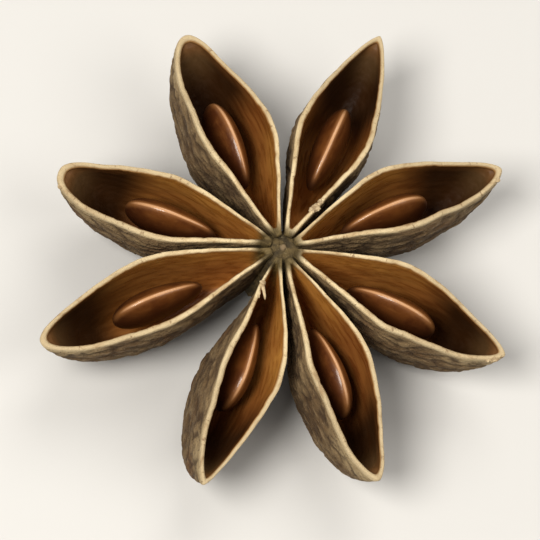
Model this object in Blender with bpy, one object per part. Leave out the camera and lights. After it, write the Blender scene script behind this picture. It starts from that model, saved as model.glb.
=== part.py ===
"""Star anise pod: eight boat-shaped carpels joined round a short column, each split open
along its top and holding one flat seed.

Metres, +Z up. The pod lies with its open side up and rests on the bellies of its carpels.
The origin is on the surface that it lies on, under the middle of its outline seen from above.
Carpels are measured from the column's axis, which stands a little off the origin, because no two
are equally long. Lengths are written in millimetres and multiplied by MM.
"""

import math
from collections import namedtuple

import bmesh
import bpy
from mathutils import Matrix, Vector, noise

MM = 0.001

# Every carpel as it grew. Bearings are degrees anticlockwise from +X seen from above, lengths run
# from the column's axis to the tip, and mouths are measured over the lips. A positive roll leans
# the mouth anticlockwise, and a positive bow swings the middle that way. A sharp mouth narrows to
# a point, and a blunt one stays open to the tip. The seed's middle is so far from the axis, and a
# lift keeps the belly off the floor.
Carpel = namedtuple("Carpel", "bearing length mouth roll sharpness bow seed lift")
CARPELS = (
    Carpel(bearing=112.0, length=15.7, mouth=5.0, roll=-8, sharpness=0.50, bow=-0.15, seed=8.3, lift=0.0),
    Carpel(bearing=66.2, length=16.2, mouth=4.9, roll=-3, sharpness=0.72, bow=0.05, seed=8.1, lift=0.2),
    Carpel(bearing=22.7, length=15.2, mouth=4.5, roll=0, sharpness=0.60, bow=0.25, seed=7.3, lift=0.0),
    Carpel(bearing=-25.7, length=15.3, mouth=4.7, roll=0, sharpness=0.66, bow=0.10, seed=7.6, lift=0.0),
    Carpel(bearing=-69.3, length=16.0, mouth=4.2, roll=9, sharpness=0.60, bow=0.25, seed=8.0, lift=0.1),
    Carpel(bearing=-108.5, length=16.2, mouth=4.1, roll=19, sharpness=0.76, bow=0.25, seed=7.5, lift=-0.4),
    Carpel(bearing=-157.3, length=16.3, mouth=4.8, roll=3, sharpness=0.55, bow=-0.15, seed=8.2, lift=0.0),
    Carpel(bearing=160.0, length=14.8, mouth=4.5, roll=4, sharpness=0.42, bow=0.20, seed=7.2, lift=0.2),
)

# Side view of a carpel: heights over the floor, and where its belly touches the floor
RIM_AT_COLUMN = 7.3
ROLL_AXIS = 6.3
RIM_HUMP = 0.75
RIM_DROOP = 1.3
BEAK_UPTURN = 0.45
KEEL_AT_COLUMN = 2.5
BELLY_SHARE = 0.62
FLAT_CUT = 0.15

# Walls
ROOT_START = 0.75
CAVITY_START = 1.3
TIP_WALL = 0.5
RIM_WALL = 0.38
KEEL_WALL = 2.1
PROW_DEPTH = 0.9
ROOT_OVERLAP = 0.12
FLANK_GAP = 0.09

# Section of a carpel: how far round from the keel its sheet runs, and how pointed the keel is
OUTER_SWEEP = math.radians(112)
OUTER_POINT = 1.15
INNER_SWEEP = math.radians(100)
INNER_POINT = 0.9

# Relief of the dried skin, in millimetres of depth and of wavelength
SKIN_RELIEF = 0.16
SKIN_WAVE = 2.3
RIM_RELIEF = 0.10
RIM_WAVE = 2.8

# Seed: half sizes, and how it lies in its carpel
SEED_HALF_LENGTH = 3.0
SEED_HALF_HEIGHT = 2.3
SEED_HALF_THICKNESS = 1.1
SEED_GAP = 0.36
SEED_PITCH = math.radians(5)

# Column: radius and height of its turned outline, from the stalk's scar up to the cap
COLUMN_OUTLINE = (
    (0.00, 1.15), (0.62, 1.05), (0.80, 1.35), (0.74, 1.95), (1.40, 2.20), (2.50, 3.10),
    (2.00, 4.60), (1.45, 6.00), (1.20, 6.80), (0.85, 7.08), (0.40, 7.12), (0.00, 7.18),
)

# Fineness: how many stations along, how much closer they stand at the ends, and ribs across
STATIONS = 20
CROWDING = 0.55
RIBS = 12
COLUMN_SIDES = 16
SEED_SIDES = 14
SEED_RINGS = 8

FRUIT_BROWN = (0.255, 0.150, 0.070, 1.0)
SEED_BROWN = (0.230, 0.098, 0.035, 1.0)


def clear_scene():
    for obj in list(bpy.data.objects):
        bpy.data.objects.remove(obj, do_unlink=True)


def material(name, colour, roughness):
    made = bpy.data.materials.new(name)
    made.use_nodes = True
    shader = made.node_tree.nodes["Principled BSDF"]
    shader.inputs["Base Color"].default_value = colour
    shader.inputs["Roughness"].default_value = roughness
    shader.inputs["Metallic"].default_value = 0.0
    made.diffuse_color = colour
    return made


def object_from(bm, name, finish):
    bmesh.ops.recalc_face_normals(bm, faces=bm.faces)
    mesh = bpy.data.meshes.new(name)
    bm.to_mesh(mesh)
    bm.free()
    mesh.materials.append(finish)
    mesh.shade_smooth()
    obj = bpy.data.objects.new(name, mesh)
    bpy.context.scene.collection.objects.link(obj)
    return obj


def soft_min(a, b, blend):
    """The lesser of two lengths, with the corner between them rounded."""
    apart = max(blend - abs(a - b), 0.0) / blend
    return min(a, b) - apart * apart * blend / 4


def half_gaps(index):
    """Half the angle from a carpel to each neighbour: clockwise, then anticlockwise."""
    here = CARPELS[index].bearing
    after = CARPELS[index - 1].bearing
    before = CARPELS[(index + 1) % len(CARPELS)].bearing
    return (
        math.radians((here - before) % 360) / 2,
        math.radians((after - here) % 360) / 2,
    )


def mouth_outline(u, sharpness):
    """Width of the mouth at the share u of its length, as a share of its widest."""
    opening = 0.09 + 2.0 * u
    closing = (max(1.0 - u ** 2.5, 0.0) / (1.0 - 0.5 ** 2.5)) ** sharpness
    return soft_min(opening, closing, 0.25)


def rim_height(u, index, side, fade):
    """Height of the lips: humped over the seed, dipping before the beak that turns up."""
    hump = RIM_HUMP * math.sin(math.pi * u ** 0.8) ** 1.4
    dip = 0.35 * math.exp(-(((u - 0.82) / 0.11) ** 2))
    wave = noise.noise(Vector((u * 15 / RIM_WAVE, index * 7.3, side * 2.1)))
    return (
        RIM_AT_COLUMN + hump - dip - RIM_DROOP * u ** 1.6 + BEAK_UPTURN * u ** 9
        + RIM_RELIEF * wave * math.sin(math.pi * fade)
    )


def keel_height(s, carpel, top_here):
    """Height of the underside, from the column over the belly to the prow."""
    belly = BELLY_SHARE * carpel.length
    lowest = carpel.lift - FLAT_CUT
    if s < belly:
        back = (belly - s) / (belly - ROOT_START)
        risen = lowest + KEEL_AT_COLUMN * back ** 1.7
        return risen + (top_here - risen) * back ** 16
    ahead = (s - belly) / (carpel.length - belly)
    return lowest + (top_here - lowest) * (0.8 * ahead ** 1.8 + 0.2 * ahead ** 6)


def rolled_and_bowed(s, w, z, carpel):
    """The carpel's own lean and sideways bow, both growing from nothing at the column."""
    share = min(max((s - 1.5) / 5.5, 0.0), 1.0)
    angle = math.radians(carpel.roll) * share * share * (3 - 2 * share)
    up = z - ROLL_AXIS
    across = w * math.cos(angle) + up * math.sin(angle)
    height = ROLL_AXIS + up * math.cos(angle) - w * math.sin(angle)
    along = max(s - 1.5, 0.0) / (carpel.length - 1.5)
    return across + carpel.bow * math.sin(math.pi * along), height


def place(s, w, z, carpel):
    """A point given along the carpel, across it and up, put where it is in the pod."""
    across, height = rolled_and_bowed(s, w, z, carpel)
    turned = Matrix.Rotation(math.radians(carpel.bearing), 3, "Z") @ Vector((s, across, height))
    return turned * MM


def flank_limit(s, index, side):
    """How far across a carpel may reach before it meets the flank of its neighbour."""
    fused = min(max((1.9 - s) / 0.6, 0.0), 1.0)
    return s * math.tan(half_gaps(index)[side > 0]) - FLANK_GAP + (FLANK_GAP + ROOT_OVERLAP) * fused


def outer_point(index, u, v):
    """A point of the skin: u runs from the column to the tip, v from one lip to the other."""
    carpel = CARPELS[index]
    side = 1 if v > 0 else -1
    s = ROOT_START + (carpel.length - ROOT_START) * u
    top = rim_height(u, index, side, u)
    keel = keel_height(s, carpel, top)
    sweep = abs(v) * OUTER_SWEEP
    fullness = (math.sin(sweep) / math.sin(OUTER_SWEEP)) ** OUTER_POINT
    half = carpel.mouth / 2 * mouth_outline(u, carpel.sharpness)
    rise = (1 - math.cos(sweep)) / (1 - math.cos(OUTER_SWEEP))
    z = keel + (top - keel) * rise
    skin = noise.noise(Vector((s / SKIN_WAVE, side * 3 + index * 5, z / SKIN_WAVE)))
    dent = SKIN_RELIEF * skin * math.sin(math.pi * u) * math.sin(math.pi * abs(v) ** 2)
    w = soft_min(half * fullness + dent, flank_limit(s, index, side), 0.12)
    return place(s, side * w * (0 < u < 1) * (v != 0), z, carpel)


def inner_point(index, u, v):
    """A point of the smooth lining, numbered as the skin is."""
    carpel = CARPELS[index]
    side = 1 if v > 0 else -1
    cavity_end = carpel.length - TIP_WALL
    s = CAVITY_START + (cavity_end - CAVITY_START) * u
    on_skin = (s - ROOT_START) / (carpel.length - ROOT_START)
    top = rim_height(on_skin, index, side, u) - 0.04
    wall = KEEL_WALL * (1 - 0.55 * u * u)
    deepest = min(keel_height(s, carpel, top) + wall, top - PROW_DEPTH)
    end_rise = (2 * u - 1) ** 10 if u < 0.5 else (2 * u - 1) ** 5
    floor = deepest + (top - deepest) * end_rise
    sweep = abs(v) * INNER_SWEEP
    fullness = (math.sin(sweep) / math.sin(INNER_SWEEP)) ** INNER_POINT
    half = (carpel.mouth / 2 - RIM_WALL) * mouth_outline(u, carpel.sharpness)
    rise = (1 - math.cos(sweep)) / (1 - math.cos(INNER_SWEEP))
    limit = s * math.tan(half_gaps(index)[side > 0]) - FLANK_GAP - RIM_WALL
    w = max(soft_min(half * fullness, limit, 0.12), 0.03 * abs(v))
    return place(s, side * w * (0 < u < 1), floor + (top - floor) * rise, carpel)


def carpel_body(index, finish):
    """One closed carpel: a grid wrapped lip to lip over the skin and back over the lining."""
    bm = bmesh.new()
    rows = 2 * RIBS + 2
    made = bmesh.ops.create_grid(bm, x_segments=STATIONS, y_segments=rows, size=0.5)
    for vert in made["verts"]:
        step = round((vert.co.x + 0.5) * STATIONS) / STATIONS
        u = step - CROWDING * math.sin(math.tau * step) / math.tau
        row = round((vert.co.y + 0.5) * rows) % rows
        if row <= RIBS:
            vert.co = outer_point(index, u, 2 * row / RIBS - 1)
        else:
            vert.co = inner_point(index, u, 1 - 2 * (row - RIBS - 1) / RIBS)
    bmesh.ops.remove_doubles(bm, verts=bm.verts, dist=1e-6)
    return object_from(bm, f"carpel_{index + 1}", finish)


def column_body(finish):
    """The column that the carpels grow from, with its cap on top and the stalk's scar below."""
    bm = bmesh.new()
    verts = [bm.verts.new((radius * MM, 0, height * MM)) for radius, height in COLUMN_OUTLINE]
    edges = [bm.edges.new(pair) for pair in zip(verts, verts[1:])]
    bmesh.ops.spin(
        bm, geom=verts + edges, axis=(0, 0, 1), angle=math.tau, steps=COLUMN_SIDES, use_merge=True
    )
    bmesh.ops.remove_doubles(bm, verts=bm.verts, dist=1e-6)
    return object_from(bm, "pod", finish)


def join_by_union(base, others):
    """Makes base one solid with the others, which are then removed."""
    group = bpy.data.collections.new("joined")
    for other in others:
        group.objects.link(other)
    union = base.modifiers.new("union", "BOOLEAN")
    union.operation = "UNION"
    union.operand_type = "COLLECTION"
    union.collection = group
    bpy.context.view_layer.update()
    joined = bpy.data.meshes.new_from_object(base.evaluated_get(bpy.context.evaluated_depsgraph_get()))
    base.modifiers.clear()
    base.data = joined
    for other in others:
        bpy.data.objects.remove(other, do_unlink=True)
    bpy.data.collections.remove(group)


def cut_resting_flats(obj):
    """Cuts the bellies off level with the floor, so that each has a small flat to rest on."""
    bm = bmesh.new()
    bm.from_mesh(obj.data)
    bmesh.ops.bisect_plane(
        bm, geom=[*bm.verts, *bm.edges, *bm.faces], plane_co=(0, 0, 0), plane_no=(0, 0, 1),
        clear_inner=True,
    )
    bmesh.ops.holes_fill(bm, edges=[edge for edge in bm.edges if edge.is_boundary])
    bmesh.ops.recalc_face_normals(bm, faces=bm.faces)
    bm.to_mesh(obj.data)
    bm.free()
    obj.data.shade_smooth()
    obj.data.set_sharp_from_angle(angle=math.radians(50))


def seed_body(index, finish):
    """A flat glossy seed lying on its edge, its narrow end towards the column."""
    carpel = CARPELS[index]
    centre = carpel.seed
    below = keel_height(centre, carpel, RIM_AT_COLUMN) + KEEL_WALL
    bm = bmesh.new()
    bmesh.ops.create_uvsphere(bm, u_segments=SEED_SIDES, v_segments=SEED_RINGS, radius=1)
    pitch = Matrix.Rotation(SEED_PITCH, 3, "Y")
    for vert in bm.verts:
        # The sphere's poles become the two ends of the seed.
        along, across, up = vert.co.z, vert.co.y, -vert.co.x
        taper = 0.86 + 0.16 * along
        edge = 1 - 0.14 * abs(up) ** 3
        shaped = pitch @ Vector((
            SEED_HALF_LENGTH * along,
            SEED_HALF_THICKNESS * across * taper * edge,
            SEED_HALF_HEIGHT * up * taper,
        ))
        vert.co = place(
            centre + shaped.x, shaped.y, below + SEED_GAP + SEED_HALF_HEIGHT + shaped.z, carpel
        )
    return object_from(bm, f"seed_{index + 1}", finish)


def centre_over_origin(objects):
    """Shifts everything sideways by the same amount, so that the outline's middle is at the origin."""
    corners = [Vector(corner) for obj in objects for corner in obj.bound_box]
    middle_x = (min(c.x for c in corners) + max(c.x for c in corners)) / 2
    middle_y = (min(c.y for c in corners) + max(c.y for c in corners)) / 2
    for obj in objects:
        obj.data.transform(Matrix.Translation((-middle_x, -middle_y, 0.0)))


clear_scene()
fruit = material("dried_fruit", FRUIT_BROWN, 0.72)
seed_coat = material("seed_coat", SEED_BROWN, 0.25)

pod = column_body(fruit)
join_by_union(pod, [carpel_body(index, fruit) for index in range(len(CARPELS))])
cut_resting_flats(pod)
seeds = [seed_body(index, seed_coat) for index in range(len(CARPELS))]
centre_over_origin([pod, *seeds])
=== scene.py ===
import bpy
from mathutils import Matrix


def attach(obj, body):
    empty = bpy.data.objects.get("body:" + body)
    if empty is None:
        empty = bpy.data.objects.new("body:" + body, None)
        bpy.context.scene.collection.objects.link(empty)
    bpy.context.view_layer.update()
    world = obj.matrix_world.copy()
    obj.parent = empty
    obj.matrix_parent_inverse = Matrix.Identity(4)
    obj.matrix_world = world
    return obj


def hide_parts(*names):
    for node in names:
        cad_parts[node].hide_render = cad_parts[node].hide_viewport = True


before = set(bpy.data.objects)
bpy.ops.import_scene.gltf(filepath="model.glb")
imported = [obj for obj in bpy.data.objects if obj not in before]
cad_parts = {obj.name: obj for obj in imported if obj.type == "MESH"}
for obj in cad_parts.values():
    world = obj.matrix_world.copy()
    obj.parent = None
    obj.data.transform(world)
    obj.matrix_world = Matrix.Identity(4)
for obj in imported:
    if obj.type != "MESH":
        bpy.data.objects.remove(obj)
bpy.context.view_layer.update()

import math
from collections import namedtuple

import bmesh
import bpy
from mathutils import Matrix, Vector, noise

# Carpels: the boat-shaped woody cells of the dried fruit, grown together at the column and split
# open along the top. A wrinkled grey-brown skin and a smooth, hard, golden-brown lining meet in
# thin pale lips. Lengths are in millimetres, and bearings in degrees anticlockwise from +X.
MM = 0.001
COLUMN_AT = (0.5061, 0.2781)

Carpel = namedtuple("Carpel", "bearing length mouth roll sharpness bow seed lift")
CARPELS = (
    Carpel(bearing=112.0, length=15.7, mouth=5.0, roll=-8,
           sharpness=0.50, bow=-0.15, seed=8.3, lift=0.0),
    Carpel(bearing=66.2, length=16.2, mouth=4.9, roll=-3,
           sharpness=0.72, bow=0.05, seed=8.1, lift=0.2),
    Carpel(bearing=22.7, length=15.2, mouth=4.5, roll=0,
           sharpness=0.60, bow=0.25, seed=7.3, lift=0.0),
    Carpel(bearing=-25.7, length=15.3, mouth=4.7, roll=0,
           sharpness=0.66, bow=0.10, seed=7.6, lift=0.0),
    Carpel(bearing=-69.3, length=16.0, mouth=4.2, roll=9,
           sharpness=0.60, bow=0.25, seed=8.0, lift=0.1),
    Carpel(bearing=-108.5, length=16.2, mouth=4.1, roll=19,
           sharpness=0.76, bow=0.25, seed=7.5, lift=-0.4),
    Carpel(bearing=-157.3, length=16.3, mouth=4.8, roll=3,
           sharpness=0.55, bow=-0.15, seed=8.2, lift=0.0),
    Carpel(bearing=160.0, length=14.8, mouth=4.5, roll=4,
           sharpness=0.42, bow=0.20, seed=7.2, lift=0.2),
)
RIM_AT_COLUMN = 7.3
ROLL_AXIS = 6.3
STRAIGHT_TO = 1.5
ROLLED_BY = 7.0
RIM_HUMP = 0.75
RIM_DROOP = 1.3
RIM_DIP = 0.35
RIM_DIP_AT = 0.82
RIM_DIP_WIDTH = 0.11
BEAK_UPTURN = 0.45
KEEL_AT_COLUMN = 2.5
BELLY_SHARE = 0.62
FLAT_CUT = 0.15
ROOT_START = 0.75
CAVITY_START = 1.3
TIP_WALL = 0.5
RIM_WALL = 0.38
KEEL_WALL = 2.1
KEEL_THINNING = 0.55
PROW_DEPTH = 0.9
NARROWEST = 0.03
LINING_BELOW_LIP = 0.04
ROOT_OVERLAP = 0.12
FUSED_TO = 1.9
FUSED_FADE = 0.6
FLANK_GAP = 0.09
FLANK_CORNER = 0.12
OUTER_SWEEP = math.radians(112)
OUTER_POINT = 1.15
INNER_SWEEP = math.radians(100)
INNER_POINT = 0.9
SKIN_RELIEF = 0.16
SKIN_WAVE = 2.3
RIM_RELIEF = 0.10
RIM_WAVE = 2.8
MOUTH_AT_COLUMN = 0.09
MOUTH_OPENING = 2.0
MOUTH_FULLNESS = 2.5
MOUTH_CORNER = 0.25

STATIONS = 210
CROWDING = 0.55
SKIN_ROWS = 164
LIP_ROWS = 8
LINING_ROWS = 60
WRINKLE_DEPTH = 0.24
WRINKLES = ((2.3, 0.85, 0.50), (1.2, 0.42, 0.32), (0.55, 0.22, 0.18))
WRINKLE_DRIFT = 0.55
WRINKLE_SEED = 5
RIB_DEPTH = 0.05
FRAY = 0.055
FRAY_REACH = 0.45
LIP_THINNING = 0.09
LIP_RISE = 0.8
LIP_REACH = 0.25
HUB_AT = Vector((0.20, 0.05))
REDDENS_FROM = (0.32, 0.42, 0.48, 0.42, 0.18, 0.40, 0.62, 0.58)
REDDENS_OVER = 0.24

# The wrinkles drift the same way in every run
noise.seed_set(WRINKLE_SEED)


def soft_min(a, b, corner):
    """The lesser of two lengths, with the corner between them rounded."""
    near = max(corner - abs(a - b), 0.0) / corner
    return min(a, b) - near * near * corner / 4


def half_gap(index, side):
    """Half the angle from a carpel to its neighbour on that side: -1 clockwise, 1 anticlockwise."""
    other = CARPELS[(index - side) % len(CARPELS)].bearing
    return math.radians(((other - CARPELS[index].bearing) * side) % 360) / 2


def mouth_outline(u, sharpness):
    """Width of the mouth at the share u of its length, as a share of its widest."""
    opening = MOUTH_AT_COLUMN + MOUTH_OPENING * u
    closing = (max(1.0 - u ** MOUTH_FULLNESS, 0.0) / (1.0 - 0.5 ** MOUTH_FULLNESS)) ** sharpness
    return soft_min(opening, closing, MOUTH_CORNER)


def rim_height(u, index, side, fade):
    """Height of the lips: humped over the seed, dipping before the beak that turns up."""
    hump = RIM_HUMP * math.sin(math.pi * u ** 0.8) ** 1.4
    dip = RIM_DIP * math.exp(-(((u - RIM_DIP_AT) / RIM_DIP_WIDTH) ** 2))
    wave = noise.noise(Vector((u * 15 / RIM_WAVE, index * 7.3, side * 2.1)))
    return (
        RIM_AT_COLUMN + hump - dip - RIM_DROOP * u ** 1.6 + BEAK_UPTURN * u ** 9
        + RIM_RELIEF * wave * math.sin(math.pi * fade)
    )


def keel_height(s, carpel, top_here):
    """Height of the underside, from the column over the belly to the prow."""
    belly = BELLY_SHARE * carpel.length
    lowest = carpel.lift - FLAT_CUT
    if s < belly:
        back = (belly - s) / (belly - ROOT_START)
        risen = lowest + KEEL_AT_COLUMN * back ** 1.7
        return risen + (top_here - risen) * back ** 16
    ahead = (s - belly) / (carpel.length - belly)
    return lowest + (top_here - lowest) * (0.8 * ahead ** 1.8 + 0.2 * ahead ** 6)


def place(grown, carpel):
    """Puts a point of the straight carpel, given along, across and up, where it is in the pod."""
    s, w, z = grown
    share = min(max((s - STRAIGHT_TO) / (ROLLED_BY - STRAIGHT_TO), 0.0), 1.0)
    angle = math.radians(carpel.roll) * share * share * (3 - 2 * share)
    up = z - ROLL_AXIS
    across = w * math.cos(angle) + up * math.sin(angle)
    height = ROLL_AXIS + up * math.cos(angle) - w * math.sin(angle)
    along = max(s - STRAIGHT_TO, 0.0) / (carpel.length - STRAIGHT_TO)
    across += carpel.bow * math.sin(math.pi * along)
    turned = Matrix.Rotation(math.radians(carpel.bearing), 3, "Z") @ Vector((s, across, height))
    return (turned + Vector((*COLUMN_AT, 0.0))) * MM


def skin_point(index, u, v):
    """A point of the skin: u runs from the column to the tip, v from one lip to the other."""
    carpel = CARPELS[index]
    side = 1 if v > 0 else -1
    s = ROOT_START + (carpel.length - ROOT_START) * u
    top = rim_height(u, index, side, u)
    keel = keel_height(s, carpel, top)
    sweep = abs(v) * OUTER_SWEEP
    fullness = (math.sin(sweep) / math.sin(OUTER_SWEEP)) ** OUTER_POINT
    half = carpel.mouth / 2 * mouth_outline(u, carpel.sharpness)
    rise = (1 - math.cos(sweep)) / (1 - math.cos(OUTER_SWEEP))
    z = keel + (top - keel) * rise
    swell = noise.noise(Vector((s / SKIN_WAVE, side * 3 + index * 5, z / SKIN_WAVE)))
    dent = SKIN_RELIEF * swell * math.sin(math.pi * u) * math.sin(math.pi * abs(v) ** 2)
    fused = min(max((FUSED_TO - s) / FUSED_FADE, 0.0), 1.0)
    limit = s * math.tan(half_gap(index, side)) - FLANK_GAP + (FLANK_GAP + ROOT_OVERLAP) * fused
    w = soft_min(half * fullness + dent, limit, FLANK_CORNER)
    return Vector((s, side * w * (0 < u < 1) * (v != 0), z))


def lining_point(index, u, v):
    """A point of the lining, numbered as the skin is."""
    carpel = CARPELS[index]
    side = 1 if v > 0 else -1
    s = CAVITY_START + (carpel.length - TIP_WALL - CAVITY_START) * u
    on_skin = (s - ROOT_START) / (carpel.length - ROOT_START)
    top = rim_height(on_skin, index, side, u) - LINING_BELOW_LIP
    wall = KEEL_WALL * (1 - KEEL_THINNING * u * u)
    deepest = min(keel_height(s, carpel, top) + wall, top - PROW_DEPTH)
    end_rise = (2 * u - 1) ** 10 if u < 0.5 else (2 * u - 1) ** 5
    floor = deepest + (top - deepest) * end_rise
    sweep = abs(v) * INNER_SWEEP
    fullness = (math.sin(sweep) / math.sin(INNER_SWEEP)) ** INNER_POINT
    half = (carpel.mouth / 2 - RIM_WALL) * mouth_outline(u, carpel.sharpness)
    rise = (1 - math.cos(sweep)) / (1 - math.cos(INNER_SWEEP))
    limit = s * math.tan(half_gap(index, side)) - FLANK_GAP - RIM_WALL
    w = max(soft_min(half * fullness, limit, FLANK_CORNER), NARROWEST * abs(v))
    return Vector((s, side * w * (0 < u < 1), floor + (top - floor) * rise))


def lip_point(index, u, side, turn):
    """A point of the rounded lip: turn runs from 0 on the skin to 1 on the lining."""
    skin = skin_point(index, u, side)
    lining = lining_point(index, u, side)
    middle = (skin + lining) / 2
    reach = skin - middle
    angle = math.pi * turn
    rise = min(reach.length, LIP_REACH) * LIP_RISE * math.sin(angle)
    return middle + reach * math.cos(angle) + Vector((0, 0, rise))


def skin_wrinkles(grown, index):
    """Height of the dried skin: near 0 down in a crease, 1 on the plump skin between creases."""
    s, w, z = grown
    drift = WRINKLE_DRIFT * noise.noise_vector(
        Vector((s / 1.7, w / 1.2, z / 1.2 + index * 5))
    )
    height = 0.0
    for length, girth, weight in WRINKLES:
        near = noise.noise(Vector((s / length + index * 11, w / girth, z / girth)) + drift)
        height += weight * min(abs(near) * 2.7, 1.0) ** 0.75
    return height


def frayed(grown, side, index, below_lip, thinned):
    """A point near a lip, moved by the lip's small waves and nicks."""
    near = math.exp(-((below_lip / FRAY_REACH) ** 2))
    s = grown.x
    wave = noise.noise(Vector((s / 1.5, side * 4, index * 9)))
    nick = noise.noise(Vector((s / 0.27, side * 4 + 20, index * 9)))
    sway = noise.noise(Vector((s / 1.2, side * 4 + 40, index * 9)))
    thin = noise.noise(Vector((s / 0.5, side * 4 + 60, index * 9)))
    inward = LIP_THINNING * thinned * max(thin, 0.0)
    return grown + near * Vector((
        0, side * (FRAY * sway + inward), FRAY * wave + 0.6 * FRAY * min(nick, 0.1),
    ))


def carpel_piece(index):
    """One closed carpel: a grid wrapped from lip to lip over the skin and back over the lining."""
    rows = SKIN_ROWS + LINING_ROWS + 2 * LIP_ROWS
    lining_from = SKIN_ROWS + LIP_ROWS
    lining_to = lining_from + LINING_ROWS
    bm = bmesh.new()
    layers = bm.verts.layers
    crease, lining, depth, reach, outward, reddened = (
        layers.float.new(name)
        for name in ("crease", "lining", "depth", "reach", "outward", "reddened")
    )
    grown_at = layers.float_vector.new("grown")
    made = bmesh.ops.create_grid(bm, x_segments=STATIONS, y_segments=rows, size=0.5)
    carpel = CARPELS[index]
    for vert in made["verts"]:
        step = round((vert.co.x + 0.5) * STATIONS) / STATIONS
        u = step - CROWDING * math.sin(math.tau * step) / math.tau
        row = round((vert.co.y + 0.5) * rows) % rows
        if row <= SKIN_ROWS:
            v = 2 * row / SKIN_ROWS - 1
            grown, on_lining = skin_point(index, u, v), 0.0
        elif row < lining_from:
            v, on_lining = 1, (row - SKIN_ROWS) / LIP_ROWS
            grown = lip_point(index, u, 1, on_lining)
        elif row <= lining_to:
            v = 1 - 2 * (row - lining_from) / LINING_ROWS
            grown, on_lining = lining_point(index, u, v), 1.0
        else:
            v, on_lining = -1, 1 - (row - lining_to) / LIP_ROWS
            grown = lip_point(index, u, -1, on_lining)
        side = 1 if v > 0 else -1
        below_lip = max(rim_height(u, index, side, u) - grown.z, 0.0)
        if 0 < u < 1:
            fade = math.sin(math.pi * u) ** 0.5
            grown = grown.lerp(frayed(grown, side, index, below_lip, on_lining), fade)
        vert.co = place(grown, carpel)
        vert[lining] = on_lining
        vert[depth] = below_lip
        vert[reach] = (vert.co.xy / MM - HUB_AT).length
        vert[outward] = u
        vert[reddened] = min(max((u - REDDENS_FROM[index]) / REDDENS_OVER, 0.0), 1.0)
        vert[grown_at] = grown + Vector((index * 37, 0, 0))
        vert[crease] = 1.0
    bmesh.ops.remove_doubles(bm, verts=bm.verts, dist=1e-7)
    bmesh.ops.recalc_face_normals(bm, faces=bm.faces)
    bm.normal_update()
    for vert in bm.verts:
        grown = vert[grown_at]
        ends = math.sin(math.pi * min(max(vert[outward], 0.0), 1.0)) ** 0.4
        if vert[lining] < 0.5:
            plump = skin_wrinkles(grown, index)
            sunk = (1 - plump) * min(vert[depth] / 0.7, 1.0)
            vert[crease] = 1 - sunk
            vert.co -= vert.normal * sunk * ends * WRINKLE_DEPTH * MM
        elif vert[lining] == 1.0:
            rib = noise.noise(Vector((grown.x / 3.0, grown.y / 0.35, grown.z / 0.35)))
            vert.co -= vert.normal * abs(rib) * ends * min(vert[depth] / 0.5, 1.0) * RIB_DEPTH * MM
        vert.co.z = max(vert.co.z, 0.0)
    mesh = bpy.data.meshes.new(f"carpel_{index + 1}")
    bm.to_mesh(mesh)
    bm.free()
    mesh.shade_smooth()
    piece = bpy.data.objects.new(f"carpel_{index + 1}", mesh)
    bpy.context.scene.collection.objects.link(piece)
    return piece


def add_node(material, kind, inputs=None, **settings):
    """A node with its settings, and its inputs either linked or given a value."""
    node = material.node_tree.nodes.new(kind)
    for name, value in settings.items():
        setattr(node, name, value)
    for name, value in (inputs or {}).items():
        if isinstance(value, bpy.types.NodeSocket):
            material.node_tree.links.new(value, node.inputs[name])
        else:
            node.inputs[name].default_value = value
    return node


def new_material(name):
    """A material with its Principled shader, and the shader."""
    material = bpy.data.materials.new(name)
    material.use_nodes = True
    return material, material.node_tree.nodes["Principled BSDF"]


def read_attribute(material, name):
    """A value that the mesh carries at each point."""
    return add_node(material, "ShaderNodeAttribute", attribute_name=name)


def grain(material, where, scale, detail=4.0, roughness=0.55, stretch=(1, 1, 1), shift=(0, 0, 0)):
    """A noise pattern on the given coordinates, stretched and shifted, as a value from 0 to 1."""
    mapped = add_node(
        material, "ShaderNodeMapping", {"Vector": where, "Scale": stretch, "Location": shift}
    )
    made = add_node(
        material, "ShaderNodeTexNoise",
        {
            "Vector": mapped.outputs["Vector"], "Scale": scale,
            "Detail": detail, "Roughness": roughness,
        },
    )
    return made.outputs["Fac"]


def remap(material, value, low, high, to_low=0.0, to_high=1.0):
    """Stretches a range of a value to another range, and holds it there."""
    made = add_node(
        material, "ShaderNodeMapRange",
        {"Value": value, "From Min": low, "From Max": high, "To Min": to_low, "To Max": to_high},
        interpolation_type="SMOOTHSTEP",
    )
    return made.outputs["Result"]


def blend(material, share, first, second):
    """Two colours mixed by a share."""
    made = add_node(material, "ShaderNodeMix", data_type="RGBA")
    for socket, value in ((0, share), (6, first), (7, second)):
        if isinstance(value, bpy.types.NodeSocket):
            material.node_tree.links.new(value, made.inputs[socket])
        else:
            made.inputs[socket].default_value = value
    return made.outputs[2]


def arithmetic(material, operation, first, second):
    """Two values added, multiplied or otherwise combined."""
    made = add_node(material, "ShaderNodeMath", {0: first, 1: second}, operation=operation)
    return made.outputs[0]


SKIN_BROWNS = ((0.112, 0.064, 0.027, 1), (0.172, 0.113, 0.054, 1))
SKIN_RED = (0.125, 0.056, 0.022, 1)
SKIN_FIBRE = (0.265, 0.185, 0.096, 1)
SKIN_PALE_AND_LIT = (0.280, 0.190, 0.092, 1)
SKIN_STRAW = (0.400, 0.300, 0.160, 1)
SKIN_SPECK = (0.080, 0.045, 0.024, 1)
SKIN_CREASE_SHADE = (0.050, 0.028, 0.014, 1)
GOLDS = ((0.360, 0.145, 0.025, 1), (0.490, 0.225, 0.046, 1))
GOLD_CLOUD = (0.300, 0.104, 0.021, 1)
GOLD_LINE = (0.250, 0.090, 0.019, 1)
SHADED_DEEP_GOLDS = ((0.215, 0.074, 0.014, 1), (0.320, 0.122, 0.026, 1))
RED_BROWNS = ((0.150, 0.042, 0.009, 1), (0.235, 0.080, 0.018, 1))
BEAK_SHADOW = (0.022, 0.008, 0.002, 1)
BEAK_TIP_SHADE = (0.078, 0.043, 0.016, 1)
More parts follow.
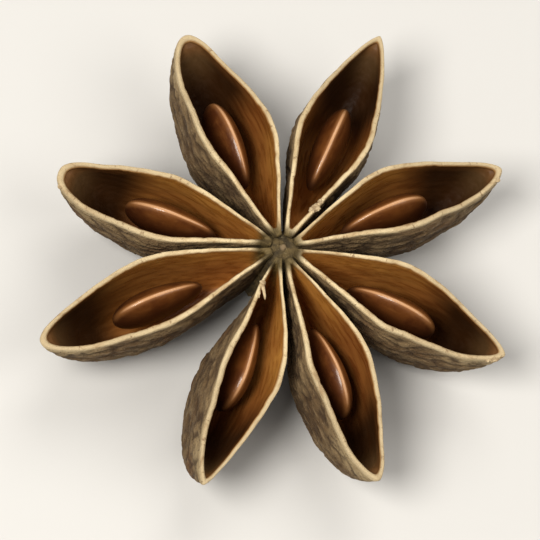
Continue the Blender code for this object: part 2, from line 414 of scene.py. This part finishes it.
LIP_PALES = ((0.680, 0.540, 0.320, 1), (0.530, 0.390, 0.210, 1))
LIP_OUTWARD = (0.450, 0.345, 0.200, 1)
LIP_WORN = (0.270, 0.160, 0.075, 1)
LIP_NICK = (0.180, 0.100, 0.048, 1)
LIP_INNER = (0.330, 0.165, 0.052, 1)
STEM_GREYS = ((0.046, 0.030, 0.009, 1), (0.125, 0.086, 0.030, 1))


def husk_material():
    """Wrinkled skin with painted shade in its creases, pale lips, and a golden lining that reddens
    towards the beak, darkened by painted shade with depth and in the beak.
    """
    husk, shader = new_material("dried_husk")
    grown = read_attribute(husk, "grown").outputs["Vector"]
    crease = read_attribute(husk, "crease").outputs["Fac"]
    lining = read_attribute(husk, "lining").outputs["Fac"]
    depth = read_attribute(husk, "depth").outputs["Fac"]
    reach = read_attribute(husk, "reach").outputs["Fac"]
    outward = read_attribute(husk, "outward").outputs["Fac"]
    reddened = read_attribute(husk, "reddened").outputs["Fac"]

    patches = grain(husk, grown, 0.42, detail=3.0)
    red_patches = grain(husk, grown, 0.30, detail=2.0, shift=(7, 3, 1))
    fibres = grain(husk, grown, 3.4, detail=6.0, roughness=0.6, stretch=(0.22, 1, 1))
    specks = grain(husk, grown, 6.5, detail=2.0, roughness=0.6)
    skin = blend(husk, remap(husk, patches, 0.38, 0.62), *SKIN_BROWNS)
    skin = blend(husk, remap(husk, red_patches, 0.52, 0.70, 0.0, 0.7), skin, SKIN_RED)
    skin = blend(husk, remap(husk, fibres, 0.48, 0.70, 0.0, 0.75), skin, SKIN_FIBRE)
    # Paler band under the lips: partly the skin's own paler tone, partly painted light, leaving the
    # lower flanks darker as if in shade.
    under_lip = remap(husk, depth, 0.15, 2.2, 0.75, 0.0)
    pale_lit_band = arithmetic(husk, "MULTIPLY", under_lip, remap(husk, patches, 0.30, 0.55, 0.35, 1.0))
    skin = blend(husk, pale_lit_band, skin, SKIN_PALE_AND_LIT)
    on_beak = remap(husk, outward, 0.66, 0.90, 0.0, 0.9)
    straw = arithmetic(husk, "MULTIPLY", on_beak, remap(husk, depth, 0.2, 1.6, 1.0, 0.0))
    straw = arithmetic(husk, "MULTIPLY", straw, remap(husk, fibres, 0.30, 0.60, 0.45, 1.0))
    skin = blend(husk, straw, skin, SKIN_STRAW)
    skin = blend(husk, remap(husk, specks, 0.60, 0.70, 0.0, 0.8), skin, SKIN_SPECK)
    # Painted shade: the skin is darkened down in its wrinkle creases.
    skin = blend(husk, remap(husk, crease, 0.30, 0.85, 0.80, 0.0), skin, SKIN_CREASE_SHADE)

    streaks = grain(husk, grown, 2.8, detail=4.0, stretch=(0.14, 1, 1), shift=(3, 0, 0))
    lines = grain(husk, grown, 8.0, detail=2.0, stretch=(0.07, 1, 1), shift=(5, 0, 0))
    clouds = grain(husk, grown, 0.5, detail=2.0, shift=(0, 9, 0))
    streaked = remap(husk, streaks, 0.36, 0.64)
    gold = blend(husk, streaked, *GOLDS)
    gold = blend(husk, remap(husk, clouds, 0.45, 0.65, 0.0, 0.5), gold, GOLD_CLOUD)
    gold = blend(husk, remap(husk, lines, 0.52, 0.68, 0.0, 0.45), gold, GOLD_LINE)
    # Painted shade: the lining darkens with depth below the lips.
    lined = blend(husk, remap(husk, depth, 0.5, 2.8), gold, blend(husk, streaked, *SHADED_DEEP_GOLDS))
    red_brown = blend(husk, streaked, *RED_BROWNS)
    lined = blend(husk, remap(husk, reddened, 0.0, 1.0, 0.0, 0.85), lined, red_brown)
    # Painted shadow: past the seed and deeper down, the lining turns almost black, a little less
    # dark towards the tip.
    beak_shade = remap(husk, outward, 0.54, 0.76)
    beak_shade = arithmetic(husk, "MULTIPLY", beak_shade, remap(husk, depth, 0.10, 0.90, 0.72, 0.96))
    beak_shade_colour = blend(husk, remap(husk, outward, 0.82, 0.97, 0.0, 0.85), BEAK_SHADOW, BEAK_TIP_SHADE)
    lined = blend(husk, beak_shade, lined, beak_shade_colour)

    worn = grain(husk, grown, 1.8, detail=5.0, stretch=(0.45, 1, 1), shift=(0, 5, 0))
    nicks = grain(husk, grown, 5.5, detail=3.0, stretch=(1, 0.4, 0.4), shift=(2, 0, 5))
    pale = blend(husk, remap(husk, worn, 0.40, 0.62), *LIP_PALES)
    pale = blend(husk, remap(husk, outward, 0.20, 0.70, 0.0, 0.75), pale, LIP_OUTWARD)
    pale = blend(husk, remap(husk, worn, 0.58, 0.72, 0.0, 0.6), pale, LIP_WORN)
    pale = blend(husk, remap(husk, nicks, 0.60, 0.72, 0.0, 0.7), pale, LIP_NICK)

    skin_side = remap(husk, depth, 0.05, 0.22, 1.0, 0.0)
    over_lip = arithmetic(husk, "MAXIMUM", remap(husk, lining, 0.0, 0.12), skin_side)
    colour = blend(husk, over_lip, skin, pale)
    colour = blend(husk, remap(husk, lining, 0.62, 0.86), colour, LIP_INNER)
    colour = blend(husk, remap(husk, lining, 0.90, 1.0), colour, lined)
    stem = blend(husk, remap(husk, fibres, 0.40, 0.62), *STEM_GREYS)
    colour = blend(husk, remap(husk, reach, 1.15, 1.95, 0.97, 0.0), colour, stem)
    husk.node_tree.links.new(colour, shader.inputs["Base Color"])

    shine = remap(husk, streaks, 0.35, 0.65, 0.24, 0.38)
    shine = arithmetic(husk, "ADD", shine, remap(husk, outward, 0.50, 0.75, 0.0, 0.14))
    matt = remap(husk, fibres, 0.40, 0.65, 0.90, 0.66)
    rough = add_node(husk, "ShaderNodeMix", {0: remap(husk, lining, 0.80, 1.0), 2: matt, 3: shine})
    husk.node_tree.links.new(rough.outputs[0], shader.inputs["Roughness"])
    shader.inputs["Specular IOR Level"].default_value = 0.22

    outer = arithmetic(husk, "SUBTRACT", 1.0, lining)
    coarse = arithmetic(husk, "MULTIPLY", arithmetic(husk, "ADD", fibres, specks), outer)
    ribs = arithmetic(husk, "MULTIPLY", arithmetic(husk, "ADD", streaks, lines), 0.12)
    relief = arithmetic(husk, "ADD", coarse, ribs)
    bump = add_node(
        husk, "ShaderNodeBump", {"Strength": 0.8, "Distance": 0.00016, "Height": relief}
    )
    husk.node_tree.links.new(bump.outputs["Normal"], shader.inputs["Normal"])
    return husk


husk = husk_material()
for index in range(len(CARPELS)):
    piece = carpel_piece(index)
    piece.data.materials.append(husk)
    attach(piece, "root")
    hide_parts("pod")

# Column: the short woody core that the carpels grew from, fused to them all. Its cap is rough and
# greenish grey with a small knob in the middle, and below it ends in the scar of the fruit's
# stalk. It is one turned body, given as radius and height.
COLUMN_OUTLINE = (
    (0.00, 1.15), (0.62, 1.05), (0.80, 1.35), (0.74, 1.95), (1.40, 2.20), (2.50, 3.10),
    (2.00, 4.60), (1.45, 6.00), (1.20, 6.80), (0.85, 7.08), (0.34, 7.10), (0.17, 7.22),
    (0.00, 7.27),
)
COLUMN_SIDES = 108
SCAR_BELOW = 1.45
SCAR_RADIUS = 0.58
SCAR_RELIEF = 0.10
KNOB_ABOVE = 7.0
CORE_GREYS = ((0.036, 0.023, 0.006, 1), (0.108, 0.071, 0.022, 1))
CORE_FLECK = (0.320, 0.255, 0.130, 1)
CORE_SCAR = (0.270, 0.185, 0.100, 1)
CORE_PITH = (0.030, 0.018, 0.009, 1)

bm = bmesh.new()
turned = [bm.verts.new((radius * MM, 0, height * MM)) for radius, height in COLUMN_OUTLINE]
edges = [bm.edges.new(pair) for pair in zip(turned, turned[1:])]
bmesh.ops.subdivide_edges(bm, edges=edges, cuts=8)
bmesh.ops.spin(
    bm, geom=[*bm.verts, *bm.edges], axis=(0, 0, 1), angle=math.tau,
    steps=COLUMN_SIDES, use_merge=True,
)
bmesh.ops.remove_doubles(bm, verts=bm.verts, dist=1e-7)
bmesh.ops.recalc_face_normals(bm, faces=bm.faces)
for _ in range(3):
    bmesh.ops.smooth_vert(
        bm, verts=bm.verts, factor=0.5, use_axis_x=True, use_axis_y=True, use_axis_z=True
    )
bm.normal_update()
scar = bm.verts.layers.float.new("scar")
for vert in bm.verts:
    around = vert.co.xy.length / MM + 0.10 * noise.noise(vert.co / (0.45 * MM))
    if vert.co.z < SCAR_BELOW * MM:
        ring = math.exp(-(((around - SCAR_RADIUS) / 0.15) ** 2))
        vert[scar] = ring - math.exp(-((around / 0.24) ** 2))
        vert.co.z -= SCAR_RELIEF * vert[scar] * MM
    elif vert.co.z > KNOB_ABOVE * MM:
        vert[scar] = 1.3 * math.exp(-((around / 0.20) ** 2))
    lumps = noise.noise(vert.co / (0.60 * MM)) * 0.12
    lumps += noise.noise(vert.co / (0.24 * MM)) * 0.07
    pits = max(noise.noise(vert.co / (0.34 * MM)) - 0.18, 0.0) * 0.30
    vert.co += vert.normal * (lumps - pits) * MM
bmesh.ops.translate(bm, verts=bm.verts, vec=(COLUMN_AT[0] * MM, COLUMN_AT[1] * MM, 0))
mesh = bpy.data.meshes.new("column")
bm.to_mesh(mesh)
bm.free()
mesh.shade_smooth()
column = bpy.data.objects.new("column", mesh)
bpy.context.scene.collection.objects.link(column)

core, shader = new_material("column_core")
place_on = add_node(core, "ShaderNodeTexCoord").outputs["Object"]
mottle = grain(core, place_on, 1800.0, detail=4.0)
flecks = grain(core, place_on, 8500.0, detail=3.0, roughness=0.65)
colour = blend(core, remap(core, mottle, 0.35, 0.65), *CORE_GREYS)
colour = blend(core, remap(core, flecks, 0.60, 0.74, 0.0, 0.7), colour, CORE_FLECK)
scar = read_attribute(core, "scar").outputs["Fac"]
colour = blend(core, remap(core, scar, 0.15, 0.80, 0.0, 0.60), colour, CORE_SCAR)
colour = blend(core, remap(core, scar, -0.70, -0.15, 0.90, 0.0), colour, CORE_PITH)
core.node_tree.links.new(colour, shader.inputs["Base Color"])
shader.inputs["Roughness"].default_value = 0.85
bump = add_node(core, "ShaderNodeBump", {"Strength": 0.7, "Distance": 0.00015, "Height": flecks})
core.node_tree.links.new(bump.outputs["Normal"], shader.inputs["Normal"])
column.data.materials.append(core)
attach(column, "root")
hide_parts("pod")

# Shreds: thin flat fibres of dry tissue and a few small corky burrs, torn loose where the carpels
# split open. Each is still grown to the lip that it was torn from.
Shred = namedtuple("Shred", "carpel u side turn heading length breadth curl")
SHREDS = (
    Shred(carpel=5, u=0.13, side=-1, turn=0.7, heading=(1.0, 0.40, 0.45),
          length=1.05, breadth=0.15, curl=60),
    Shred(carpel=5, u=0.17, side=-1, turn=0.6, heading=(1.0, 0.10, 0.35),
          length=0.50, breadth=0.11, curl=30),
    Shred(carpel=1, u=0.17, side=-1, turn=0.4, heading=(1.0, -0.15, 0.25),
          length=0.45, breadth=0.13, curl=25),
    Shred(carpel=3, u=0.95, side=-1, turn=0.1, heading=(1.0, -0.30, -0.10),
          length=0.35, breadth=0.12, curl=20),
)
Burr = namedtuple("Burr", "carpel u side turn radius")
BURRS = (
    Burr(carpel=1, u=0.120, side=-1, turn=0.6, radius=0.22),
    Burr(carpel=1, u=0.145, side=-1, turn=0.4, radius=0.24),
    Burr(carpel=1, u=0.170, side=-1, turn=0.5, radius=0.17),
    Burr(carpel=5, u=0.125, side=-1, turn=0.5, radius=0.19),
    Burr(carpel=3, u=0.970, side=-1, turn=0.2, radius=0.22),
    Burr(carpel=3, u=0.940, side=-1, turn=0.1, radius=0.15),
    Burr(carpel=2, u=0.965, side=-1, turn=0.2, radius=0.19),
    Burr(carpel=7, u=0.970, side=1, turn=0.2, radius=0.18),
)
SHRED_LENGTHS = 9
SHRED_THINNESS = 0.38
SHRED_ROUGHNESS = 0.025
SHRED_STRAWS = ((0.280, 0.190, 0.100, 1), (0.560, 0.430, 0.250, 1))


def add_shred(bm, shred):
    """A flat fibre that tapers and curls away from its root."""
    carpel = CARPELS[shred.carpel]
    root = lip_point(shred.carpel, shred.u, shred.side, shred.turn)
    start = place(root, carpel)
    heading = (place(root + Vector(shred.heading) * 0.1, carpel) - start).normalized()
    made = bmesh.ops.create_circle(bm, cap_ends=True, segments=8, radius=shred.breadth * MM)
    upright = heading.to_track_quat("Z", "Y").to_matrix()
    bmesh.ops.scale(bm, verts=made["verts"], vec=(1.0, SHRED_THINNESS, 1.0))
    bmesh.ops.rotate(bm, verts=made["verts"], cent=(0, 0, 0), matrix=upright)
    bmesh.ops.translate(bm, verts=made["verts"], vec=start - heading * 0.12 * MM)
    face = made["verts"][0].link_faces[0]
    axis = upright @ Vector((1, 0, 0))
    for ring in range(SHRED_LENGTHS):
        face = bmesh.ops.extrude_discrete_faces(bm, faces=[face])["faces"][0]
        turn = Matrix.Rotation(math.radians(shred.curl / SHRED_LENGTHS), 3, axis)
        heading = turn @ heading
        verts = list(face.verts)
        bmesh.ops.translate(bm, verts=verts, vec=heading * shred.length / SHRED_LENGTHS * MM)
        middle = face.calc_center_median()
        bmesh.ops.rotate(bm, verts=verts, cent=middle, matrix=turn)
        narrower = 0.90 if ring < SHRED_LENGTHS - 1 else 0.35
        bmesh.ops.scale(bm, verts=verts, vec=(narrower,) * 3, space=Matrix.Translation(-middle))
    bmesh.ops.holes_fill(bm, edges=[edge for edge in bm.edges if edge.is_boundary])


def add_burr(bm, burr):
    """A small corky lump on a lip."""
    carpel = CARPELS[burr.carpel]
    middle = place(lip_point(burr.carpel, burr.u, burr.side, burr.turn), carpel)
    made = bmesh.ops.create_icosphere(bm, subdivisions=4, radius=burr.radius * MM)
    for vert in made["verts"]:
        rough = noise.noise(vert.co / (0.13 * MM) + Vector((burr.u * 50, 0, 0)))
        vert.co *= 1 + 0.35 * rough
        vert.co.z *= 0.6
    sunk = Vector((0, 0, 0.30 * burr.radius * MM))
    bmesh.ops.translate(bm, verts=made["verts"], vec=middle - sunk)


bm = bmesh.new()
for shred in SHREDS:
    add_shred(bm, shred)
for burr in BURRS:
    add_burr(bm, burr)
for vert in bm.verts:
    vert.co += noise.noise_vector(vert.co / (0.12 * MM)) * SHRED_ROUGHNESS * MM
bmesh.ops.recalc_face_normals(bm, faces=bm.faces)
mesh = bpy.data.meshes.new("shreds")
bm.to_mesh(mesh)
bm.free()
mesh.shade_smooth()
shreds = bpy.data.objects.new("shreds", mesh)
bpy.context.scene.collection.objects.link(shreds)

straw, shader = new_material("dry_shreds")
place_on = add_node(straw, "ShaderNodeTexCoord").outputs["Object"]
mottle = grain(straw, place_on, 3000.0, detail=4.0)
colour = blend(straw, remap(straw, mottle, 0.35, 0.65), *SHRED_STRAWS)
straw.node_tree.links.new(colour, shader.inputs["Base Color"])
shader.inputs["Roughness"].default_value = 0.8
bump = add_node(straw, "ShaderNodeBump", {"Strength": 0.6, "Distance": 0.00008, "Height": mottle})
straw.node_tree.links.new(bump.outputs["Normal"], shader.inputs["Normal"])
shreds.data.materials.append(straw)
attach(shreds, "root")
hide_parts("pod")

# Seeds: one flat, hard, glossy seed lies on its edge in each carpel, its narrow end towards the
# column. A raised ridge, the seam of its coat, runs along its upper edge; its pale line is partly
# the seam's own colour and partly a painted highlight, and the seed's lower flanks carry painted
# shade.
SEED_HALF_LENGTH = 3.0
SEED_HALF_HEIGHT = 2.3
SEED_HALF_THICKNESS = 1.1
SEED_GAP = 0.36
SEED_PITCH = math.radians(5)
SEAM_WIDTH = 0.27
SEAM_HEIGHT = 0.06
SEED_DENT = 0.035
COAT_BROWNS = ((0.066, 0.018, 0.004, 1), (0.118, 0.038, 0.008, 1))
COAT_THREAD = (0.175, 0.066, 0.017, 1)
COAT_FLANK_SHADE = (0.030, 0.008, 0.003, 1)
COAT_CROWN_HIGHLIGHT = (0.290, 0.118, 0.034, 1)
COAT_SEAM_AND_HIGHLIGHT = (0.550, 0.295, 0.140, 1)
COAT_NARROW_END = (0.035, 0.013, 0.006, 1)


def seed_piece(index):
    """One seed: a ball drawn out to a flat drop, with its seam along the top."""
    carpel = CARPELS[index]
    below = keel_height(carpel.seed, carpel, RIM_AT_COLUMN) + KEEL_WALL
    bm = bmesh.new()
    ridge = bm.verts.layers.float.new("ridge")
    narrow_end = bm.verts.layers.float.new("narrow_end")
    height = bm.verts.layers.float.new("height")
    grown_at = bm.verts.layers.float_vector.new("grown")
    bmesh.ops.create_uvsphere(bm, u_segments=72, v_segments=48, radius=1)
    pitch = Matrix.Rotation(SEED_PITCH, 3, "Y")
    for vert in bm.verts:
        along, across, up = vert.co.z, vert.co.y, -vert.co.x
        taper = 0.86 + 0.16 * along
        edge = 1 - 0.14 * abs(up) ** 3
        seam = math.exp(-((across / SEAM_WIDTH) ** 2)) * max(up, 0.0) ** 0.4
        shaped = pitch @ Vector((
            SEED_HALF_LENGTH * along,
            SEED_HALF_THICKNESS * across * taper * edge,
            SEED_HALF_HEIGHT * up * taper + SEAM_HEIGHT * seam,
        ))
        dent = noise.noise(shaped / 1.9 + Vector((index * 7, 3, 0)))
        shaped *= 1 + SEED_DENT * dent
        vert[ridge] = seam
        vert[narrow_end] = -along
        vert[height] = up
        vert[grown_at] = shaped + Vector((index * 20, 0, 0))
        middle_height = below + SEED_GAP + SEED_HALF_HEIGHT
        vert.co = place((carpel.seed + shaped.x, shaped.y, middle_height + shaped.z), carpel)
    bmesh.ops.recalc_face_normals(bm, faces=bm.faces)
    mesh = bpy.data.meshes.new(f"glossy_seed_{index + 1}")
    bm.to_mesh(mesh)
    bm.free()
    mesh.shade_smooth()
    piece = bpy.data.objects.new(f"glossy_seed_{index + 1}", mesh)
    bpy.context.scene.collection.objects.link(piece)
    return piece


coat, shader = new_material("seed_coat")
grown = read_attribute(coat, "grown").outputs["Vector"]
ridge = read_attribute(coat, "ridge").outputs["Fac"]
height = read_attribute(coat, "height").outputs["Fac"]
narrow_end = read_attribute(coat, "narrow_end").outputs["Fac"]
clouds = grain(coat, grown, 0.7, detail=3.0)
threads = grain(coat, grown, 3.0, detail=3.0, stretch=(0.3, 1, 1))
pores = grain(coat, grown, 4.5, detail=3.0)
colour = blend(coat, remap(coat, clouds, 0.35, 0.65), *COAT_BROWNS)
colour = blend(coat, remap(coat, threads, 0.50, 0.75, 0.0, 0.5), colour, COAT_THREAD)
# Painted shade: the seed's lower flanks are darkened.
colour = blend(coat, remap(coat, height, 0.40, 0.98, 0.75, 0.0), colour, COAT_FLANK_SHADE)
# Painted highlight: a broad lighter band over the crown of the seed.
colour = blend(coat, remap(coat, ridge, 0.15, 0.85, 0.0, 0.55), colour, COAT_CROWN_HIGHLIGHT)
# The pale seam line: partly the seam's own pale colour, partly a painted highlight along the ridge.
colour = blend(coat, remap(coat, ridge, 0.72, 0.97, 0.0, 0.90), colour, COAT_SEAM_AND_HIGHLIGHT)
colour = blend(coat, remap(coat, narrow_end, 0.80, 0.98, 0.0, 0.85), colour, COAT_NARROW_END)
coat.node_tree.links.new(colour, shader.inputs["Base Color"])
shader.inputs["Roughness"].default_value = 0.34
shader.inputs["Specular IOR Level"].default_value = 0.25
shader.inputs["Coat Weight"].default_value = 0.30
shader.inputs["Coat Roughness"].default_value = 0.09
bump = add_node(coat, "ShaderNodeBump", {"Strength": 0.35, "Distance": 0.00006, "Height": pores})
coat.node_tree.links.new(bump.outputs["Normal"], shader.inputs["Normal"])
for index in range(len(CARPELS)):
    piece = seed_piece(index)
    piece.data.materials.append(coat)
    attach(piece, "root")
    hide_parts(f"seed_{index + 1}")

# Floor: a plain pale matt surface that the pod lies on, a hair below its bellies. It takes the
# shadows under the carpels.
FLOOR_HALF_WIDTH = 0.6
FLOOR_BELOW = 0.00002
bm = bmesh.new()
bmesh.ops.create_grid(bm, x_segments=1, y_segments=1, size=FLOOR_HALF_WIDTH)
mesh = bpy.data.meshes.new("floor")
bm.to_mesh(mesh)
bm.free()
mesh.transform(Matrix.Translation((0, 0, -FLOOR_BELOW)))
floor = bpy.data.objects.new("floor", mesh)
bpy.context.scene.collection.objects.link(floor)
paint, shader = new_material("pale_floor")
shader.inputs["Base Color"].default_value = (0.60, 0.59, 0.57, 1)
shader.inputs["Roughness"].default_value = 0.9
floor.data.materials.append(paint)

# Light: broad soft lamps, the main one high at the camera's left, a weaker one at its right and
# one from behind, and an even pale surround.
surround = bpy.data.worlds.new("surround")
surround.use_nodes = True
surround.node_tree.nodes["Background"].inputs["Color"].default_value = (1.0, 0.98, 0.95, 1)
surround.node_tree.nodes["Background"].inputs["Strength"].default_value = 0.24
bpy.context.scene.world = surround
bpy.context.scene.view_settings.view_transform = "Standard"
MIDDLE = Vector((0.0, 0.0, 0.004))
for name, bearing, height, distance, size, power in (
    ("main", -150, 60, 0.30, 0.14, 0.90),
    ("fill", -20, 52, 0.32, 0.22, 0.32),
    ("back", 70, 56, 0.32, 0.20, 0.36),
):
    lamp = bpy.data.lights.new(name, "AREA")
    lamp.shape = "DISK"
    lamp.size = size
    lamp.energy = power
    lamp.color = (1.0, 0.97, 0.92)
    there = bpy.data.objects.new(name, lamp)
    around, up = math.radians(bearing), math.radians(height)
    away = Vector((math.cos(around) * math.cos(up), math.sin(around) * math.cos(up), math.sin(up)))
    there.location = MIDDLE + away * distance
    there.rotation_euler = away.to_track_quat("Z", "Y").to_euler()
    bpy.context.scene.collection.objects.link(there)

# Camera: it looks down at 68 degrees over the pod's plane, from a little left of the foot of the
# picture, and is rolled so that the pod's far side is up.
CAMERA_BEARING = math.radians(-105)
CAMERA_HEIGHT = math.radians(68)
CAMERA_ROLL = math.radians(15)
CAMERA_DISTANCE = 0.310
CAMERA_LENS = 330
aside = Vector((-math.sin(CAMERA_BEARING), math.cos(CAMERA_BEARING), 0))
away = Vector((
    math.cos(CAMERA_BEARING) * math.cos(CAMERA_HEIGHT),
    math.sin(CAMERA_BEARING) * math.cos(CAMERA_HEIGHT),
    math.sin(CAMERA_HEIGHT),
))
upward = away.cross(aside)
right = aside * math.cos(CAMERA_ROLL) + upward * math.sin(CAMERA_ROLL)
over = away.cross(right)
lens = bpy.data.cameras.new("camera")
lens.lens = CAMERA_LENS
lens.clip_start = 0.01
lens.clip_end = 2
camera = bpy.data.objects.new("camera", lens)
turned = Matrix((right, over, away)).transposed().to_4x4()
camera.matrix_world = Matrix.Translation(MIDDLE + away * CAMERA_DISTANCE) @ turned
bpy.context.scene.collection.objects.link(camera)
bpy.context.scene.camera = camera
